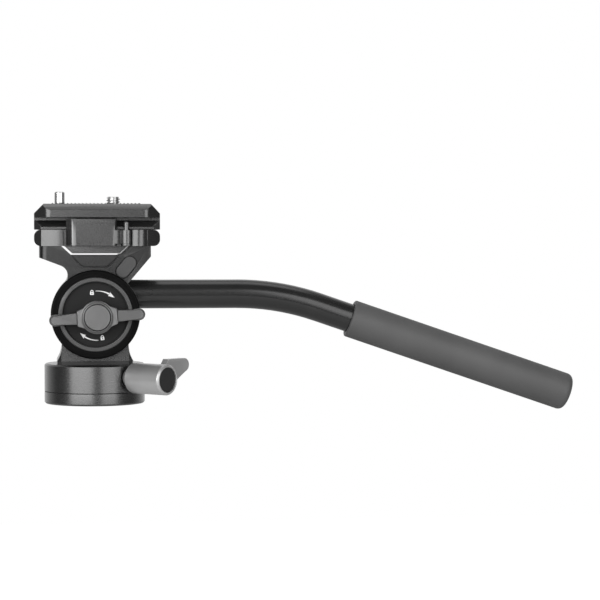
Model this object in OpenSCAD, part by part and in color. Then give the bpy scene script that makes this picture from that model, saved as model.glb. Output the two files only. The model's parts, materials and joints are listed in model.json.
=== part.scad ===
// Fluid video head with a pan base, a tilting cradle, a quick-release clamp and a fixed pan bar.
// Origin: centre of the base's underside, on the pan axis. +Z up, +X along the pan bar, -Y the dial side.

/* [Base and pan drum] */
// Diameter of the base plate and of the pan drum
base_d = 47; // [45:0.5:54]
// Height of the base plate
base_h = 5.6; // [5.2:0.1:8]
// Height of the pan drum
drum_h = 12.8; // [12.4:0.1:16]
// Height that the thrust washer keeps open between base plate and drum
pan_gap = 0.3; // [0.2:0.05:0.5]
// Chamfer on the outer edges of base plate and drum
edge_chamfer = 0.7; // [0.3:0.1:1.2]
// Nominal diameter of the tripod thread
tripod_thread_d = 9.525; // [6.35:1/4 inch, 9.525:3/8 inch]
// Depth of the tripod thread
tripod_thread_depth = 9; // [8:0.5:10]
// Wall of the threaded bush
bush_wall = 1.45; // [1.2:0.05:1.7]
// Diameter of the pan spindle where the drum turns on it
spindle_d = 17; // [16.4:0.2:18]
// Diameter of the spindle's foot flange
spindle_flange_d = 24; // [23.4:0.2:24.6]
// Thickness of the spindle's foot flange
spindle_flange_t = 2.5; // [2:0.1:3]
// Thickness of the nut that holds the drum on the spindle
pan_nut_t = 2.6; // [2:0.1:3]

/* [Pedestal] */
// Thickness of the dark spacer under the pedestal
spacer_t = 1.6; // [1:0.1:2.5]
// Half width of the pedestal at its waist
waist_w = 15.4; // [14.8:0.1:16]
// Radius of the concave flare from waist to foot
flare_r = 14; // [11:0.5:18]
// Depth of the pedestal's foot
foot_depth = 31; // [29:0.5:32]
// Height of the tilt axis above the pedestal's underside
tilt_rise = 22; // [21.6:0.1:26]
// Diameter of the tilt barrel on the pedestal
barrel_d = 24; // [22.6:0.2:25]
// Length of the tilt barrel, between the two cheeks
barrel_w = 24; // [22:0.5:25]
// Width of the stem that carries the barrel
stem_w = 16; // [14:0.5:16.4]

/* [Tilt cradle] */
// Height of the cradle's top above the tilt axis
cradle_rise = 31.5; // [30.8:0.1:34]
// Length of the cradle's top, along the pan bar
cradle_l = 51.4; // [50:0.2:56]
// Depth of the cradle over both cheeks
cradle_depth = 38; // [36:0.5:42]
// Radius of the round lobes at the tilt axis
lobe_r = 20; // [19:0.1:20.2]
// Height of the front corner's upright edge
front_edge_h = 5.3; // [4.5:0.1:6.5]
// Slope of the front arm's underside
front_slope = 20.7; // [18:0.1:23]
// Fillet between the front arm and the lobe
arm_fillet = 5; // [4:0.1:5.6]
// Height of the rear corner's upright edge
rear_edge_h = 4.8; // [4:0.1:6]
// Rounding of the cradle's upright corners in front
cradle_corner = 3.5; // [2:0.1:5]
// Rounding of the cradle's upright corners at the rear
rear_round = 1; // [0.6:0.1:3]
// Half width of the trough at the cradle's top
trough_top_w = 15.5; // [14.5:0.1:16]
// Extra reach of the trough's mouth on the handle side
mouth_extra = 0.9; // [0:0.1:1]
// Half width of the trough where its mouth starts to flare
trough_lip_w = 11.5; // [11:0.1:12]
// Half width of the trough at its floor, before rounding
trough_floor_w = 6.4; // [5.6:0.1:7]
// Depth of the trough
trough_depth = 9.9; // [9.5:0.1:10.4]
// Depth from the cradle's top to where the trough's mouth starts to flare
trough_lip_drop = 3.7; // [3.4:0.1:3.8]
// Depth from the cradle's top to the top of the trough block
block_drop = 4.2; // [3.9:0.1:5]

/* [Tilt dial and lock] */
// Outer radius of the dark dial ring
dial_r = 20.5; // [20.3:0.1:22]
// Outer radius of the grey bezel
bezel_r = 17.2; // [16.6:0.1:18]
// Radius of the dial face inside the bezel
face_r = 14.9; // [14:0.1:15.6]
// Height of the dial ring over the cheek
dial_h = 4; // [3:0.1:5]
// Diameter of the tilt shaft
tilt_shaft_d = 10; // [9:0.2:11]
// Diameter of the tilt lock's stud
tilt_stud_d = 5; // [4:0.5:5]
// Radius of the wing knob's hub
hub_r = 7.5; // [7:0.1:8.5]
// Height of the wing knob from its foot to its face
knob_h = 9.6; // [8:0.1:12]
// Reach of each wing from the knob's axis
knob_reach = 21.9; // [19:0.1:24]
// Height of a wing at its tip
knob_tip_h = 5.4; // [4.8:0.1:6.5]
// Distance of the wing knob's axis behind the tilt axis
knob_back = 0.7; // [0:0.1:1.2]
// Distance of the wing knob's axis below the tilt axis
knob_down = 1.1; // [0:0.1:1.2]
// Angle at which the wing knob stands
knob_turn = 4; // [0:1:10]

/* [Pan lock] */
// Direction of the pan lock in plan, from the pan bar's side
lock_dir = -45; // [-60:1:-45]
// Height of the pan lock's axis above the drum's underside
lock_rise = 6.7; // [6.4:0.1:7]
// Diameter of the pan lock's barrel
lock_d = 14.2; // [13:0.1:15]
// Length of the pan lock's barrel
lock_l = 21.6; // [20:0.1:26]
// Distance of the barrel from the drum's side
lock_gap = 1.2; // [1:0.1:4]
// Diameter of the pan lock's stud
lock_stud_d = 5; // [4:0.5:5]
// Reach of the pan lock's wing from its axis
wing_reach = 19.6; // [17:0.1:21]
// Height of the wing's level top over the lock's axis
wing_top = 9.1; // [8.5:0.1:11]
// Radius of the wing's rounded tip
wing_tip_r = 3.1; // [2.5:0.1:3.5]
// Thickness of the wing
wing_t = 3.6; // [3:0.1:5]
// Distance of the wing from the barrel's outer end
wing_inset = 4.4; // [4:0.1:8]

/* [Pan bar] */
// Height of the pan bar's axis above the tilt axis
bar_rise = 8.8; // [8.6:0.1:10]
// Outer diameter of the pan bar
bar_d = 13.6; // [12.6:0.1:14]
// Wall of the pan bar's tube
bar_wall = 1.2; // [1:0.1:2]
// Distance of the bend's start from the pan axis
bend_start = 67; // [50:1:90]
// Radius of the bend at the tube's axis
bend_r = 120; // [80:5:160]
// Angle through which the bar is bent down
bend_angle = 19; // [5:0.5:22]
// Straight length between bend and grip
bend_to_grip = 16.2; // [8:0.1:30]
// Length of the foam grip
grip_l = 113; // [90:1:130]
// Outer diameter of the foam grip
grip_d = 18; // [16.5:0.1:22]
// Rounding of the grip's closed end
grip_round = 3; // [1.5:0.1:5]

/* [Clamp and release lever] */
// Length of the clamp body and the quick-release plate
clamp_l = 58.2; // [57:0.2:64]
// Offset of the clamp towards the pan bar
clamp_x = 1.1; // [0:0.1:1.4]
// Thickness of the clamp body
clamp_h = 7.5; // [7:0.1:9]
// Depth of the clamp body and the quick-release plate
clamp_depth = 38; // [37:0.5:42]
// Cut of the corners in plan
corner_cut = 6; // [4:0.1:6.5]
// Rounding between the long sides and the cut corners of the quick-release plate
plate_round = 4; // [2:0.1:5]
// Rounding of the clamp body's ends
clamp_round = 3; // [2:0.1:3.4]
// Distance of the lever's pivot from the pan axis
pivot_x = 14.4; // [13.6:0.1:15]
// Radius of the lever's knuckle
knuckle_r = 2.8; // [2.4:0.1:2.9]
// Diameter of the lever's pin
lever_pin_d = 2.5; // [2:0.1:2.8]
// Length of the lever's paddle
paddle_l = 20.1; // [18:0.1:21]
// Thickness of the lever's paddle
paddle_t = 2.8; // [2.2:0.1:3.2]
// Travel of the sliding jaw
jaw_travel = 1.5; // [1:0.1:2]

/* [Quick-release plate] */
// Height of the plate's dovetail
dovetail_h = 5.6; // [5.4:0.1:6.5]
// Height of the plate above the dovetail
plate_h = 6.3; // [6:0.1:8]
// Half width of the dovetail's foot
dovetail_w = 16.2; // [15.8:0.1:16.6]
// Depth of the dovetail's groove
groove_depth = 3; // [2.4:0.1:3.2]
// Chamfer along the plate's long edges
side_chamfer = 2.8; // [2:0.1:3.2]
// Chamfer of the plate's ends
end_chamfer = 4.4; // [3:0.1:5]
// Pitch of the pad's ribs
rib_pitch = 1.74; // [1.4:0.02:2.4]
// Number of the pad's ribs
rib_count = 24; // [18:1:24]
// Height of the pad's ribs over the plate
rib_h = 0.45; // [0.3:0.05:0.7]
// Diameter of the camera screw
screw_d = 6.35; // [6.35:1/4 inch]
// Distance of the camera screw from the pan axis
screw_x = 8.9; // [7:0.1:11]
// Height of the camera screw over the plate
screw_h = 3.6; // [3:0.1:5]
// Diameter of the video pin
pin_d = 4.9; // [4:0.1:5.2]
// Distance of the video pin from the pan axis, to the front
pin_x = 16.2; // [15:0.1:17]
// Height of the video pin over the plate
pin_h = 5.9; // [4.5:0.1:6]

/* [Fits] */
// Radial clearance of shafts that turn
running_fit = 0.05; // [0.03:0.01:0.1]
// Radial clearance of parts that are seated
seat_fit = 0.03; // [0.02:0.01:0.05]
// Gap between moving parts that do not bear on each other
free_gap = 0.4; // [0.35:0.05:0.5]
// Side gap of the dovetail and the jaws
slide_gap = 0.15; // [0.1:0.05:0.2]

/* [Hidden] */
$fn = 96;
// Overshoot of cutting tools
eps = 0.5;
// Reach of cutting tools that pass the whole head
far = 120;

// Levels of the pan unit
base_r = base_d / 2;
z_drum = base_h + pan_gap;
z_drum_top = z_drum + drum_h;
z_flange_top = base_h + spindle_flange_t;
z_cavity_top = z_flange_top + free_gap;
nut_recess = pan_nut_t + 2 * free_gap - 0.2;
z_ledge = z_drum_top - nut_recess;
z_nut = z_ledge + free_gap / 2;
spindle_r = spindle_d / 2;
flange_r = spindle_flange_d / 2;
bush_r = tripod_thread_d / 2 + bush_wall;
bush_h = tripod_thread_depth + 1;
bush_flange_r = bush_r + 1.6;
bush_flange_t = 1.5;
neck_r = spindle_r - 2;
nut_r = flange_r - 0.3;
nut_notch_r = 1.4;
washer_out = base_r - 1.2;
washer_in = washer_out - 3.2;
washer_seat = 0.8;
cavity_r = flange_r + free_gap;

// Small screws: shank radius, head radius and head height
m3_r = 1.5;
m3_head_r = 2.75;
m3_head_h = 2.6;
m4_r = 2;
m4_head_r = 3.5;
spindle_screw_r = (bush_flange_r + flange_r) / 2 + 0.2;
spindle_screw_l = base_h + spindle_flange_t - 0.8;
pedestal_screw_a = 28;
pedestal_screw_r = (cavity_r + washer_in) / 2 - 0.1;
pedestal_screw_bite = 4;

// Levels of the tilt unit
z_foot = z_drum_top + spacer_t;
tilt_z = z_foot + tilt_rise;
barrel_r = barrel_d / 2;
barrel_y = barrel_w / 2;
cheek_y = barrel_y + free_gap;
cradle_y = cradle_depth / 2;
web_r = barrel_r + free_gap + 0.1;
saddle_r = max(lobe_r, dial_r) + free_gap;
web_front_a = 135;
web_rear_a = -2;
foot_y = foot_depth / 2;
foot_w = waist_w + flare_r - sqrt(pow(flare_r, 2) - pow(flare_r * 0.55, 2));
flare_z = z_foot + flare_r * 0.55;
foot_corner = waist_w + 0.2 + foot_y;
shaft_r = tilt_shaft_d / 2;
bushing_r = shaft_r + 2;
bushing_l = 5;
bushing_flange_r = bushing_r + 2;
bushing_flange_t = 1;
damper_r = barrel_r - 2.2;
damper_w = barrel_w - 2 * bushing_l - 1;

// Cradle outline, measured from the tilt axis
cradle_x = cradle_l / 2;
front_corner = [-cradle_x, cradle_rise - front_edge_h];
rear_corner = [cradle_x, cradle_rise - rear_edge_h];
slope_dir = [cos(front_slope), -sin(front_slope)];
slope_out = [-sin(front_slope), -cos(front_slope)];
fillet_start = front_corner + arm_fillet * slope_out;
fillet_b = slope_dir * fillet_start;
fillet_s = -fillet_b - sqrt(pow(fillet_b, 2) - fillet_start * fillet_start + pow(lobe_r + arm_fillet, 2));
fillet_c = fillet_start + fillet_s * slope_dir;
fillet_on_arm = front_corner + fillet_s * slope_dir;
rear_foot = lobe_r * [cos(43), sin(43)];
trough_floor = cradle_rise - trough_depth;
trough_lip = cradle_rise - trough_lip_drop;
trough_slope = (trough_lip_w - trough_floor_w) / (trough_lip - trough_floor);
trough_flare = (trough_top_w - trough_lip_w) / trough_lip_drop;
trough_round = 5;
block_gap = 0.6;
block_inset = 0.5;
block_step = 1.8;
plug_l = 12;
plug_w = 7;
plug_a = 50;
plug_at = [cradle_x - 11.4, cradle_rise - 9.8];
plug_depth = 1.6;
plug_gap = 0.45;
plug_sink = 0.3;

// Dial and wing knob, measured out from the near cheek
face_y = dial_h - 1.8;
dial_chamfer = 0.6;
bezel_y = dial_h + 0.5;
knob_y = cradle_y + face_y + free_gap;
saddle_len = 9.2;
saddle_h = 3.5;
wing_root_h = 2.9;
wing_waist_h = 2.4;
knob_at = [knob_back, -knob_down];
cap_r = hub_r - 1.6;
cap_gap = 0.25;
stud_r = tilt_stud_d / 2;
tilt_stud_in = 11;

// Pan lock, along its own axis from the pan axis
z_lock = z_drum + lock_rise;
lock_r = lock_d / 2;
lock_root = base_r + lock_gap;
lock_end = lock_root + lock_l;
lock_stud_r = lock_stud_d / 2;
lock_spot_r = lock_rise - 0.1;
lock_spot_at = base_r - 2.2;
lock_hub_r = 4.2;
lock_recess_r = lock_r - 1.3;
lock_recess = 1.4;
shoe_l = 4;
shoe_in = spindle_r + 0.1;
stud_in = shoe_in + shoe_l + 0.1;

// Pan bar, measured from the tilt axis
bar_r = bar_d / 2;
bar_z = tilt_z + bar_rise;
bar_start = barrel_r + 1.1;
bend_end = [bend_start + bend_r * sin(bend_angle), bar_z - bend_r * (1 - cos(bend_angle))];
grip_r = grip_d / 2;
grip_wall_end = 4;
bend_step = 0.02;
grub_x = 0.75 * bar_start + 0.25 * cradle_x;

// Clamp and plate levels
z_clamp = tilt_z + cradle_rise;
z_deck = z_clamp + clamp_h;
z_plate = z_deck + slide_gap;
z_over = z_plate + dovetail_h;
z_top = z_over + plate_h;
clamp_y = clamp_depth / 2;
front_y = -clamp_y + 0.7;
pivot = [pivot_x, front_y - 0.3];
keel_gap = 0.8;
keel_side = 1.4;
keel_h = block_drop - keel_gap;
paddle_front = front_y - 0.5 - paddle_t;
paddle_end = pivot_x - 4.4;
paddle_start = paddle_end - paddle_l;
paddle_z = z_clamp + 0.2;
paddle_top = z_over - 0.8;
paddle_bevel = [3.2, 2.6];
paddle_edge_r = 4;
paddle_top_bevel = [0.7, 2.4];
paddle_round = 2.2;
arm_r = 8;
arm_x = paddle_end - 3.2;
arm_end = pivot_x - knuckle_r + 0.2;
lever_bay = [paddle_start - paddle_bevel[0] - 1.6, pivot_x + knuckle_r - free_gap];
knuckle_z = z_clamp + 1.1;
knuckle_top = z_deck - 0.2;
lug_h = knuckle_z - z_clamp - 0.2;
left_column = [-15.6, 20];
left_column_end = -24.7;
right_column = [19.9, 5];
right_column_end = right_column[0] + right_column[1];
column_proud = 2.2;
jaw_l = paddle_l - 2;
jaw_x = paddle_start + 1;
jaw_leg_l = 10;
jaw_leg_h = 4;
jaw_leg_x = jaw_x + (jaw_l - jaw_leg_l) / 2;
jaw_leg_back = 2 - dovetail_w;
foot_lip = 1.2;
clamp_screw_x = cradle_x - 5.3;
clamp_screw_y = 9;
clamp_screw_bite = 5.5;
rear_jaw_l = clamp_l - 2 * corner_cut - 6;
rear_jaw_y = dovetail_w + slide_gap;
jaw_screw_x = 12;
jaw_screw_z = z_clamp + clamp_h / 2;
jaw_screw_l = 9;
low_head_h = 1.4;
low_head_r = 2.6;

// Plate details
pad_l = rib_pitch * rib_count;
pad_w = clamp_depth - 2 * side_chamfer - 2.4;
pad_seat = 1;
pad_x = clamp_x - 0.6 - pad_l / 2;
screw_r = screw_d / 2;
screw_neck_r = screw_r - 0.6;
z_ribs = z_top + rib_h + 0.05;
screw_head_r = 7;
screw_head_h = 2.2;
screw_head_z = z_plate + 0.8;
coin_slot_w = 1.6;
pin_r = pin_d / 2;
pin_neck_r = pin_r - 0.2;
pin_bore_r = pin_r + 1.5;
pin_shoulder_h = 1;
pin_plug_h = 1.4;
pin_ledge = z_top - pad_seat - 1.2;
spring_wire_r = 0.25;
spring_turns = 4;
spring_z0 = z_plate + 0.2 + pin_plug_h + spring_wire_r + 0.05;
spring_z1 = pin_ledge - 0.1 - pin_shoulder_h - spring_wire_r - 0.05;
spring_r = pin_r + 0.75;

// Points along an arc, from angle a to angle b
function arc(c, r, a, b, n = 6) = [for (i = [0:n]) let (t = a + (b - a) * i / n) c + r * [cos(t), sin(t)]];

// Half width of the trough at height h above the tilt axis, drawn in by g
function trough_side(h, g) = trough_floor_w + (h - trough_floor) * trough_slope - g;
function mouth_side(h, g) = trough_lip_w + (h - trough_lip) * trough_flare - g;

// Trough outline from the tilt axis: drawn in by g, up to height h
function trough_outline(h, g) = let (
    a = atan(trough_slope),
    t = trough_round * tan((90 - a) / 2),
    w = trough_side(trough_floor, g * 0.8) - t,
    c = trough_floor + g + trough_round)
    concat([[-trough_side(h, g), h]],
        arc([-w, c], trough_round, 180 + a, 270),
        arc([w, c], trough_round, 270, 360 - a),
        [[trough_side(h, g), h]]);

// Places a child on the tilt axis: its +Z points to the dial side, its X along the pan bar
module on_tilt_axis() {
    translate([0, 0, tilt_z]) rotate([90, 0, 0]) children();
}

// Places a child on the pan lock's axis: its +Z points outwards
module on_lock_axis() {
    translate([0, 0, z_lock]) rotate([0, 0, lock_dir]) rotate([0, 90, 0]) children();
}

// Extrudes an outline drawn in X and Z over a depth centred on Y = 0
module through_y(depth) {
    translate([0, depth / 2, 0]) rotate([90, 0, 0]) linear_extrude(depth) children();
}

// Extrudes an outline drawn in Y and Z over a length that starts at x
module along_x(x, l) {
    translate([x, 0, 0]) rotate([90, 0, 90]) linear_extrude(l) children();
}

// Places a child at each of the screws round the pan axis
module at_pedestal_screws() {
    for (a = [pedestal_screw_a, 180 - pedestal_screw_a, 180 + pedestal_screw_a, -pedestal_screw_a])
        rotate(a) translate([pedestal_screw_r, 0, 0]) children();
}

module at_spindle_screws() {
    for (a = [30, 150, 270])
        rotate(a) translate([spindle_screw_r, 0, 0]) children();
}

// Socket screw with its head's top at z = 0 and its shank pointing down
module socket_screw(r, head_r, head_h, l, key) {
    difference() {
        union() {
            translate([0, 0, -head_h]) cylinder(r = head_r, h = head_h);
            translate([0, 0, -l]) cylinder(r = r, h = l - head_h / 2);
        }
        translate([0, 0, -head_h * 0.6]) cylinder(r = key, h = head_h, $fn = 6);
    }
}

// Side of the pan lock's wing, seen along the lock: it rises from the barrel and runs level to a round tip
module wing_outline() {
    tip = [wing_reach - wing_tip_r, wing_top - wing_tip_r];
    polygon([
        [0.3 * lock_r, 0.3 * lock_r], [0.46 * lock_r, 0.86 * lock_r], [0.75 * lock_r, wing_top],
        [tip[0], wing_top], tip + 0.985 * wing_tip_r * [0.63, -0.777], [0.87 * lock_r, -0.48 * lock_r]]);
    translate(tip) circle(wing_tip_r);
}

// Base and pan unit

module base_plate() {
    color("#3a3a3c") difference() {
        rotate_extrude() polygon([
            [0, 0], [base_r - edge_chamfer, 0], [base_r, edge_chamfer], [base_r, base_h], [0, base_h]]);
        translate([0, 0, -eps]) cylinder(r = bush_r + seat_fit, h = base_h + 2 * eps);
        translate([0, 0, base_h - bush_flange_t])
            cylinder(r = bush_flange_r + seat_fit, h = bush_flange_t + eps);
        translate([0, 0, base_h - washer_seat]) difference() {
            cylinder(r = washer_out + seat_fit, h = washer_seat + eps);
            translate([0, 0, -eps]) cylinder(r = washer_in - seat_fit, h = washer_seat + 3 * eps);
        }
        at_spindle_screws() {
            translate([0, 0, -eps]) cylinder(r = m3_r + 0.1, h = base_h + 2 * eps);
            translate([0, 0, -eps]) cylinder(r = m3_head_r + 0.1, h = m3_head_h + 0.3 + eps);
        }
        translate([0, 0, -eps]) difference() {
            cylinder(r = base_r - 2.4, h = eps + 0.5);
            cylinder(r = base_r - 7, h = 3 * eps);
        }
    }
}

module tripod_bush() {
    color("silver") difference() {
        union() {
            cylinder(r = bush_r, h = bush_h);
            translate([0, 0, base_h - bush_flange_t]) cylinder(r = bush_flange_r, h = bush_flange_t);
        }
        translate([0, 0, -eps]) cylinder(d = tripod_thread_d, h = tripod_thread_depth + eps);
    }
}

module pan_spindle() {
    color("silver") difference() {
        union() {
            translate([0, 0, base_h]) cylinder(r = flange_r, h = spindle_flange_t);
            translate([0, 0, base_h]) cylinder(r = spindle_r, h = z_nut - base_h);
            translate([0, 0, base_h]) cylinder(r = neck_r, h = z_nut + pan_nut_t - base_h);
        }
        translate([0, 0, base_h - eps]) cylinder(r = bush_r + seat_fit, h = bush_h - base_h + eps + 0.1);
        at_spindle_screws() translate([0, 0, base_h - eps])
            cylinder(r = m3_r + seat_fit, h = spindle_flange_t + 2 * eps);
    }
}

module spindle_screws() {
    color("dimgray") at_spindle_screws() translate([0, 0, 0.3]) mirror([0, 0, 1])
        socket_screw(m3_r, m3_head_r, m3_head_h, spindle_screw_l, m3_r * 0.8);
}

module pan_washer() {
    color("white") translate([0, 0, base_h - washer_seat]) difference() {
        cylinder(r = washer_out, h = washer_seat + pan_gap);
        translate([0, 0, -eps]) cylinder(r = washer_in, h = washer_seat + pan_gap + 2 * eps);
    }
}

module pan_nut() {
    color("silver") translate([0, 0, z_nut]) difference() {
        cylinder(r = nut_r, h = pan_nut_t);
        translate([0, 0, -eps]) cylinder(r = neck_r + seat_fit, h = pan_nut_t + 2 * eps);
        for (a = [45, 135, 225, 315]) rotate(a) translate([nut_r, 0, -eps])
            cylinder(r = nut_notch_r, h = pan_nut_t + 2 * eps);
    }
}

module pan_drum() {
    color("#3a3a3c") difference() {
        translate([0, 0, z_drum]) rotate_extrude() polygon([
            [0, 0], [base_r, 0], [base_r, drum_h - edge_chamfer], [base_r - edge_chamfer, drum_h],
            [0, drum_h]]);
        translate([0, 0, z_drum - eps]) cylinder(r = cavity_r, h = z_cavity_top - z_drum + eps);
        cylinder(r = spindle_r + running_fit, h = z_drum_top + eps);
        translate([0, 0, z_ledge]) cylinder(r = flange_r + free_gap, h = nut_recess + eps);
        at_pedestal_screws() {
            cylinder(r = m3_r + 0.1, h = z_drum_top + eps);
            translate([0, 0, z_drum - eps]) cylinder(r = m3_head_r + 0.1, h = m3_head_h + 0.6 + eps);
        }
        on_lock_axis() {
            cylinder(r = lock_stud_r + running_fit, h = base_r + eps);
            translate([0, 0, lock_spot_at]) cylinder(r = lock_spot_r, h = base_r);
        }
    }
}

module pan_brake_shoe() {
    color("peru") difference() {
        on_lock_axis() cylinder(r = lock_stud_r, h = shoe_in + shoe_l);
        cylinder(r = shoe_in, h = z_drum_top);
    }
}

// Plan of the pedestal's foot, with its corners cut at 45 degrees
module foot_plan(g) {
    w = foot_w - g;
    y = foot_y - g;
    k = foot_corner - 1.5 * g;
    polygon([
        [w, k - w], [k - y, y], [y - k, y], [-w, k - w],
        [-w, w - k], [y - k, -y], [k - y, -y], [w, w - k]]);
}

module pedestal_spacer() {
    color("#161616") difference() {
        translate([0, 0, z_drum_top]) linear_extrude(spacer_t) foot_plan(0.3);
        cylinder(r = neck_r + 1, h = z_foot + eps);
        at_pedestal_screws() cylinder(r = m3_r + 0.1, h = z_foot + eps);
    }
}

module pedestal() {
    horn_top = tilt_z - sqrt(pow(saddle_r, 2) - pow(waist_w, 2));
    color("#4c4c4f") difference() {
        union() {
            difference() {
                intersection() {
                    translate([0, 0, z_foot]) linear_extrude(horn_top - z_foot) foot_plan(0);
                    through_y(foot_depth + eps) difference() {
                        translate([-foot_w, z_foot]) square([2 * foot_w, tilt_rise]);
                        for (s = [-1, 1]) translate([s * (waist_w + flare_r), flare_z]) circle(flare_r);
                        for (s = [-1, 1]) translate([s * (waist_w + foot_w), flare_z + foot_w])
                            square(2 * foot_w, center = true);
                    }
                }
                on_tilt_axis() cylinder(r = saddle_r, h = far, center = true);
            }
            translate([-stem_w / 2, -barrel_y, z_foot]) cube([stem_w, barrel_w, tilt_rise]);
            on_tilt_axis() cylinder(r = barrel_r, h = barrel_w, center = true);
        }
        on_tilt_axis() {
            cylinder(r = shaft_r + 2 * free_gap, h = far, center = true);
            cylinder(r = bushing_r + seat_fit, h = barrel_w + eps, center = true);
            cylinder(r = damper_r + seat_fit, h = damper_w, center = true);
            for (s = [-1, 1]) translate([0, 0, s * barrel_y])
                cylinder(r = bushing_flange_r + seat_fit, h = 2 * bushing_flange_t, center = true);
        }
        at_pedestal_screws() translate([0, 0, z_foot - eps])
            cylinder(r = m3_r + seat_fit, h = pedestal_screw_bite + eps + 0.2);
    }
}

module pedestal_screws() {
    head_z = z_drum + 0.4;
    color("dimgray") at_pedestal_screws() translate([0, 0, head_z]) mirror([0, 0, 1])
        socket_screw(m3_r, m3_head_r, m3_head_h, z_foot + pedestal_screw_bite - head_z, m3_r * 0.8);
}

// Tilt unit

module tilt_bushings() {
    color("darkgoldenrod") on_tilt_axis() for (s = [0, 1]) mirror([0, 0, s]) difference() {
        union() {
            translate([0, 0, barrel_y - bushing_l]) cylinder(r = bushing_r, h = bushing_l);
            translate([0, 0, barrel_y - bushing_flange_t])
                cylinder(r = bushing_flange_r, h = bushing_flange_t);
        }
        cylinder(r = shaft_r + running_fit, h = far);
    }
}

module tilt_damper() {
    color("#2a2a2a") on_tilt_axis() difference() {
        cylinder(r = damper_r, h = damper_w - 2 * seat_fit, center = true);
        cylinder(r = shaft_r + running_fit, h = far, center = true);
    }
}

// Side outline of the cradle, measured from the tilt axis
module cradle_outline() {
    difference() {
        union() {
            circle(lobe_r);
            polygon([
                [-cradle_x, cradle_rise], front_corner, fillet_on_arm, fillet_c, [0, 0],
                rear_foot, rear_corner, [cradle_x, cradle_rise]]);
        }
        translate(fillet_c) circle(arm_fillet);
        polygon(concat(trough_outline(trough_lip, 0), [
            [trough_lip_w + mouth_extra, trough_lip],
            [trough_top_w + mouth_extra, cradle_rise], [trough_top_w + mouth_extra, cradle_rise + eps],
            [-trough_top_w, cradle_rise + eps], [-trough_top_w, cradle_rise]]));
    }
}

// Outline of the oval plug in the rear arm
module plug_outline(g) {
    translate(plug_at) rotate(plug_a) {
        square([plug_l - plug_w, plug_w - 2 * g], center = true);
        for (s = [-1, 1]) translate([s * (plug_l - plug_w) / 2, 0]) circle(plug_w / 2 - g);
    }
}

// Room between the cheeks for the barrel, its stem and the swing of the web
module fork_gap() {
    cylinder(r = web_r, h = 2 * cheek_y, center = true);
    linear_extrude(2 * cheek_y, center = true) polygon([
        [0, 0], far * [cos(web_front_a), sin(web_front_a)], far * [-1, 0], far * [-1, -1], far * [1, -1],
        far * [cos(web_rear_a), sin(web_rear_a)]]);
}

// Half of the cradle's plan towards +X, with its corners rounded by r
module cradle_plan(r) {
    translate([-eps, -cradle_y]) square([cradle_x + eps - r, cradle_depth]);
    translate([-eps, r - cradle_y]) square([cradle_x + eps, cradle_depth - 2 * r]);
    for (y = [-1, 1]) translate([cradle_x - r, y * (cradle_y - r)]) circle(r);
}

module cradle() {
    color("#4c4c4f") difference() {
        intersection() {
            on_tilt_axis() linear_extrude(cradle_depth, center = true) cradle_outline();
            linear_extrude(far) {
                mirror([1, 0]) cradle_plan(cradle_corner);
                cradle_plan(rear_round);
            }
        }
        on_tilt_axis() {
            intersection() {
                fork_gap();
                cylinder(r = lobe_r + 1, h = far, center = true);
            }
            cylinder(r = shaft_r + seat_fit, h = far, center = true);
            translate([0, 0, cradle_y - plug_depth]) linear_extrude(far) plug_outline(0);
        }
        translate([bar_start, 0, bar_z]) rotate([0, 90, 0]) cylinder(r = bar_r + seat_fit, h = far);
        translate([grub_x, 0, tilt_z - lobe_r]) cylinder(r = m4_r + seat_fit, h = lobe_r + bar_rise);
        for (x = [-1, 1], y = [-1, 1])
            translate([x * clamp_screw_x, y * clamp_screw_y, z_clamp - clamp_screw_bite - 0.2])
                cylinder(r = m4_r + seat_fit, h = far);
    }
}

module trough_block() {
    top = cradle_rise - block_drop;
    width = cradle_depth - 2 * block_inset;
    color("#454548") on_tilt_axis() {
        linear_extrude(width - 2 * block_step, center = true) polygon(trough_outline(top, seat_fit));
        linear_extrude(width, center = true) polygon(trough_outline(top - seat_fit, block_gap));
    }
}

module arm_plug() {
    color("#3c3c3e") on_tilt_axis() translate([0, 0, cradle_y - plug_depth])
        linear_extrude(plug_depth - plug_sink) plug_outline(plug_gap);
}

module tilt_shaft() {
    color("silver") on_tilt_axis() difference() {
        cylinder(r = shaft_r, h = 2 * (cradle_y + 1.5), center = true);
        translate([knob_at[0], knob_at[1], cradle_y - tilt_stud_in])
            cylinder(r = stud_r + running_fit, h = far);
    }
}

module tilt_washers() {
    gap = 0.1;
    color("white") on_tilt_axis() for (s = [0, 1]) mirror([0, 0, s])
        translate([0, 0, barrel_y + gap]) difference() {
            cylinder(r = barrel_r - 0.5, h = free_gap - gap);
            translate([0, 0, -eps]) cylinder(r = shaft_r + seat_fit, h = 3 * eps);
        }
}

module dial_ring() {
    color("#141414") on_tilt_axis() translate([0, 0, cradle_y]) rotate_extrude() polygon([
        [bezel_r + seat_fit, 0], [dial_r, 0], [dial_r, dial_h - dial_chamfer],
        [dial_r - dial_chamfer, dial_h], [bezel_r + seat_fit, dial_h]]);
}

module dial_bezel() {
    color("#6a6a6d") on_tilt_axis() translate([0, 0, cradle_y]) rotate_extrude() polygon([
        [face_r + seat_fit, 0], [bezel_r, 0], [bezel_r, bezel_y - 0.4], [bezel_r - 0.4, bezel_y],
        [face_r + 0.4, bezel_y], [face_r + seat_fit, bezel_y - 0.4]]);
}

module dial_face() {
    color("#1c1c1d") on_tilt_axis() translate([0, 0, cradle_y]) rotate_extrude() polygon([
        [shaft_r + free_gap, 0], [face_r, 0], [face_r, face_y], [shaft_r + free_gap, face_y]]);
}

module far_cap() {
    color("#2a2a2b") on_tilt_axis() mirror([0, 0, 1]) translate([0, 0, cradle_y]) difference() {
        rotate_extrude() polygon([[0, 0], [bezel_r, 0], [bezel_r, 1.4], [bezel_r - 1.2, 2.6], [0, 2.6]]);
        translate([0, 0, -eps]) cylinder(r = shaft_r + free_gap, h = eps + 1.7);
    }
}

// Wing knob of the tilt lock

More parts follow.
